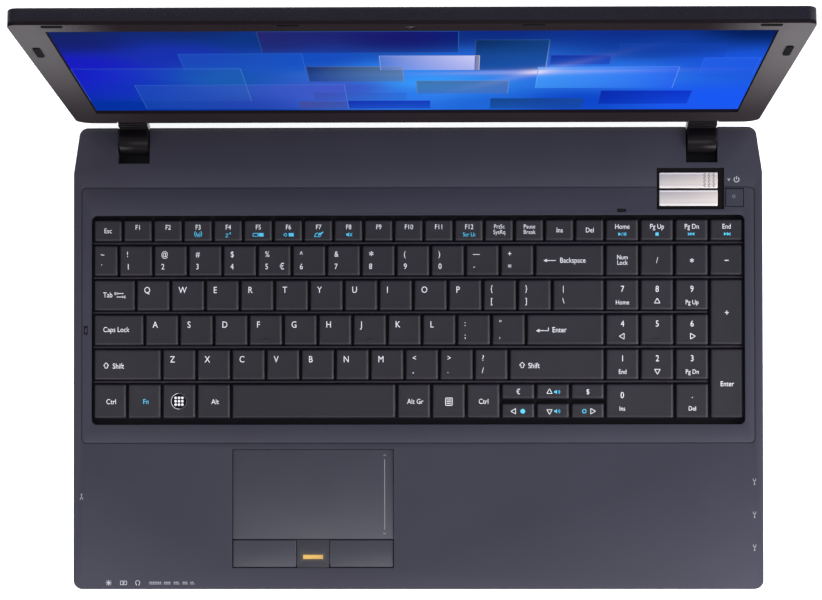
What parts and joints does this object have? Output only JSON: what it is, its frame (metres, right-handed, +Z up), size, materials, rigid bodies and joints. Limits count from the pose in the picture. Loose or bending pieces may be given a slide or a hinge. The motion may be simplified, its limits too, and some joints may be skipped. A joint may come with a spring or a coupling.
{
  "type": "laptop computer",
  "caption": "Open laptop computer with a wide screen, a full keyboard with numeric keypad, touchpad, side sockets and disc tray, on rubber feet.",
  "frame": {"origin": "centre of the open laptop's footprint box, on the plane that its feet stand on", "axes": "+X to the user's right along the hinge, +Y to the rear, +Z up"},
  "size_m": [0.378, 0.29, 0.2669],
  "materials": {
    "case_plastic": "fine-grained dark grey moulded plastic",
    "deck_plastic": "fine-grained blue-grey moulded plastic",
    "key_plastic": "satin near-black moulded plastic with printed legends",
    "key_plate": "dark painted steel plate",
    "gloss_black": "polished black plastic",
    "pad_surface": "smooth satin plastic",
    "gold_sensor": "gold-plated strip",
    "rubber": "soft matte rubber",
    "steel": "plain sheet steel",
    "socket_shell": "tin-plated sheet steel",
    "circuit_board": "green circuit board",
    "copper": "bare copper",
    "inner_plastic": "black moulded plastic",
    "battery_plastic": "black moulded plastic",
    "blue_plastic": "blue socket plastic",
    "lid_plastic": "fine-grained blue-grey moulded plastic",
    "bezel_plastic": "satin dark plastic",
    "screen": "lit display with a satin front",
    "lens": "dark camera lens",
    "button_metal": "brushed aluminium"
  },
  "bodies": {
    "base": {"bottom_case": "case_plastic", "top_case": "deck_plastic", "keyboard_plate": "key_plate", "button_panel": "gloss_black", "touchpad_plate": "pad_surface", "fingerprint_bezel": "gloss_black", "fingerprint_sensor": "gold_sensor", "rubber_feet": "rubber", "case_screws": "steel", "memory_cover": "case_plastic", "motherboard": "circuit_board", "heatsink": "copper", "fan_housing": "inner_plastic", "memory_modules": "circuit_board", "hard_drive": "steel", "drive_case": "steel", "battery_pack": "battery_plastic", "speakers": "inner_plastic", "usb_ports": "socket_shell", "lan_port": "socket_shell", "display_port": "blue_plastic", "audio_jacks": "inner_plastic", "dc_inlet": "inner_plastic", "card_reader": "steel", "hinge_brackets": "steel"},
    "lid": {"lid_back_cover": "lid_plastic", "lid_bezel": "bezel_plastic", "display_panel": "screen", "webcam_module": "lens", "hinge_arms": "gloss_black", "lid_bumpers": "rubber"},
    "fan_rotor": {"fan_impeller": "inner_plastic"},
    "tray": {"disc_tray": "case_plastic"},
    "spindle": {"disc_spindle": "inner_plastic"},
    "eject": {"eject_button": "inner_plastic"},
    "latch_left": {"battery_latch_left": "inner_plastic"},
    "latch_right": {"battery_latch_right": "inner_plastic"},
    "power": {"power_button": "button_metal"},
    "launch": {"launch_button": "button_metal"},
    "small": {"small_key": "deck_plastic"},
    "pad_left": {"touchpad_button_left": "pad_surface"},
    "pad_right": {"touchpad_button_right": "pad_surface"},
    "function_row": {"function_keys": "key_plastic"},
    "number_row": {"number_keys": "key_plastic"},
    "top_letter_row": {"top_letter_keys": "key_plastic"},
    "home_letter_row": {"home_letter_keys": "key_plastic"},
    "bottom_letter_row": {"bottom_letter_keys": "key_plastic"},
    "modifier_row": {"modifier_keys": "key_plastic"},
    "arrow_row": {"arrow_keys": "key_plastic"},
    "numpad_row": {"numpad_keys": "key_plastic"},
    "backspace_cap": {"backspace_key": "key_plastic"},
    "tab_cap": {"tab_key": "key_plastic"},
    "caps_lock_cap": {"caps_lock_key": "key_plastic"},
    "enter_cap": {"enter_key": "key_plastic"},
    "left_shift_cap": {"left_shift_key": "key_plastic"},
    "right_shift_cap": {"right_shift_key": "key_plastic"},
    "space_cap": {"space_bar": "key_plastic"},
    "numpad_plus_cap": {"numpad_plus_key": "key_plastic"},
    "numpad_enter_cap": {"numpad_enter_key": "key_plastic"},
    "numpad_zero_cap": {"numpad_zero_key": "key_plastic"}
  },
  "joints": [
    {"name": "lid_hinge", "type": "hinge", "parent": "base", "child": "lid", "pos_m": [0, 0.10255, 0.021], "axis": [1, 0, 0], "range_deg": [-43.5, 96.5]},
    {"name": "fan_spin", "type": "hinge", "parent": "base", "child": "fan_rotor", "pos_m": [-0.146, 0.03085, 0.01], "axis": [0, 0, 1], "continuous": true},
    {"name": "tray_slide", "type": "slide", "parent": "base", "child": "tray", "axis": [1, 0, 0], "range_m": [0, 0.12]},
    {"name": "spindle_spin", "type": "hinge", "parent": "tray", "child": "spindle", "pos_m": [0.1235, -0.00715, 0.01], "axis": [0, 0, 1], "continuous": true},
    {"name": "eject_press", "type": "slide", "parent": "tray", "child": "eject", "axis": [-1, 0, 0], "range_m": [0, 0.0008], "stiffness_N_per_m": 600, "springref_m": -0.001},
    {"name": "latch_left_slide", "type": "slide", "parent": "base", "child": "latch_left", "axis": [1, 0, 0], "range_m": [0, 0.008], "stiffness_N_per_m": 150, "springref_m": -0.003},
    {"name": "latch_right_slide", "type": "slide", "parent": "base", "child": "latch_right", "axis": [-1, 0, 0], "range_m": [0, 0.008]},
    {"name": "power_press", "type": "slide", "parent": "base", "child": "power", "axis": [0, 0, -1], "range_m": [0, 0.0008], "stiffness_N_per_m": 600, "springref_m": -0.001},
    {"name": "launch_press", "type": "slide", "parent": "base", "child": "launch", "axis": [0, 0, -1], "range_m": [0, 0.0008], "stiffness_N_per_m": 600, "springref_m": -0.001},
    {"name": "small_key_press", "type": "slide", "parent": "base", "child": "small", "axis": [0, 0, -1], "range_m": [0, 0.0008], "stiffness_N_per_m": 600, "springref_m": -0.001},
    {"name": "pad_left_press", "type": "slide", "parent": "base", "child": "pad_left", "axis": [0, 0, -1], "range_m": [0, 0.0006], "stiffness_N_per_m": 900, "springref_m": -0.0008},
    {"name": "pad_right_press", "type": "slide", "parent": "base", "child": "pad_right", "axis": [0, 0, -1], "range_m": [0, 0.0006], "stiffness_N_per_m": 900, "springref_m": -0.0008},
    {"name": "function_row_press", "type": "slide", "parent": "base", "child": "function_row", "axis": [0, 0, -1], "range_m": [0, 0.002], "stiffness_N_per_m": 300, "springref_m": -0.002},
    {"name": "number_row_press", "type": "slide", "parent": "base", "child": "number_row", "axis": [0, 0, -1], "range_m": [0, 0.002], "stiffness_N_per_m": 300, "springref_m": -0.002},
    {"name": "top_letter_row_press", "type": "slide", "parent": "base", "child": "top_letter_row", "axis": [0, 0, -1], "range_m": [0, 0.002], "stiffness_N_per_m": 300, "springref_m": -0.002},
    {"name": "home_letter_row_press", "type": "slide", "parent": "base", "child": "home_letter_row", "axis": [0, 0, -1], "range_m": [0, 0.002], "stiffness_N_per_m": 300, "springref_m": -0.002},
    {"name": "bottom_letter_row_press", "type": "slide", "parent": "base", "child": "bottom_letter_row", "axis": [0, 0, -1], "range_m": [0, 0.002], "stiffness_N_per_m": 300, "springref_m": -0.002},
    {"name": "modifier_row_press", "type": "slide", "parent": "base", "child": "modifier_row", "axis": [0, 0, -1], "range_m": [0, 0.002], "stiffness_N_per_m": 300, "springref_m": -0.002},
    {"name": "arrow_row_press", "type": "slide", "parent": "base", "child": "arrow_row", "axis": [0, 0, -1], "range_m": [0, 0.002], "stiffness_N_per_m": 300, "springref_m": -0.002},
    {"name": "numpad_row_press", "type": "slide", "parent": "base", "child": "numpad_row", "axis": [0, 0, -1], "range_m": [0, 0.002], "stiffness_N_per_m": 300, "springref_m": -0.002},
    {"name": "backspace_cap_press", "type": "slide", "parent": "base", "child": "backspace_cap", "axis": [0, 0, -1], "range_m": [0, 0.002], "stiffness_N_per_m": 300, "springref_m": -0.002},
    {"name": "tab_cap_press", "type": "slide", "parent": "base", "child": "tab_cap", "axis": [0, 0, -1], "range_m": [0, 0.002], "stiffness_N_per_m": 300, "springref_m": -0.002},
    {"name": "caps_lock_cap_press", "type": "slide", "parent": "base", "child": "caps_lock_cap", "axis": [0, 0, -1], "range_m": [0, 0.002], "stiffness_N_per_m": 300, "springref_m": -0.002},
    {"name": "enter_cap_press", "type": "slide", "parent": "base", "child": "enter_cap", "axis": [0, 0, -1], "range_m": [0, 0.002], "stiffness_N_per_m": 300, "springref_m": -0.002},
    {"name": "left_shift_cap_press", "type": "slide", "parent": "base", "child": "left_shift_cap", "axis": [0, 0, -1], "range_m": [0, 0.002], "stiffness_N_per_m": 300, "springref_m": -0.002},
    {"name": "right_shift_cap_press", "type": "slide", "parent": "base", "child": "right_shift_cap", "axis": [0, 0, -1], "range_m": [0, 0.002], "stiffness_N_per_m": 300, "springref_m": -0.002},
    {"name": "space_cap_press", "type": "slide", "parent": "base", "child": "space_cap", "axis": [0, 0, -1], "range_m": [0, 0.002], "stiffness_N_per_m": 300, "springref_m": -0.002},
    {"name": "numpad_plus_cap_press", "type": "slide", "parent": "base", "child": "numpad_plus_cap", "axis": [0, 0, -1], "range_m": [0, 0.002], "stiffness_N_per_m": 300, "springref_m": -0.002},
    {"name": "numpad_enter_cap_press", "type": "slide", "parent": "base", "child": "numpad_enter_cap", "axis": [0, 0, -1], "range_m": [0, 0.002], "stiffness_N_per_m": 300, "springref_m": -0.002},
    {"name": "numpad_zero_cap_press", "type": "slide", "parent": "base", "child": "numpad_zero_cap", "axis": [0, 0, -1], "range_m": [0, 0.002], "stiffness_N_per_m": 300, "springref_m": -0.002}
  ]
}
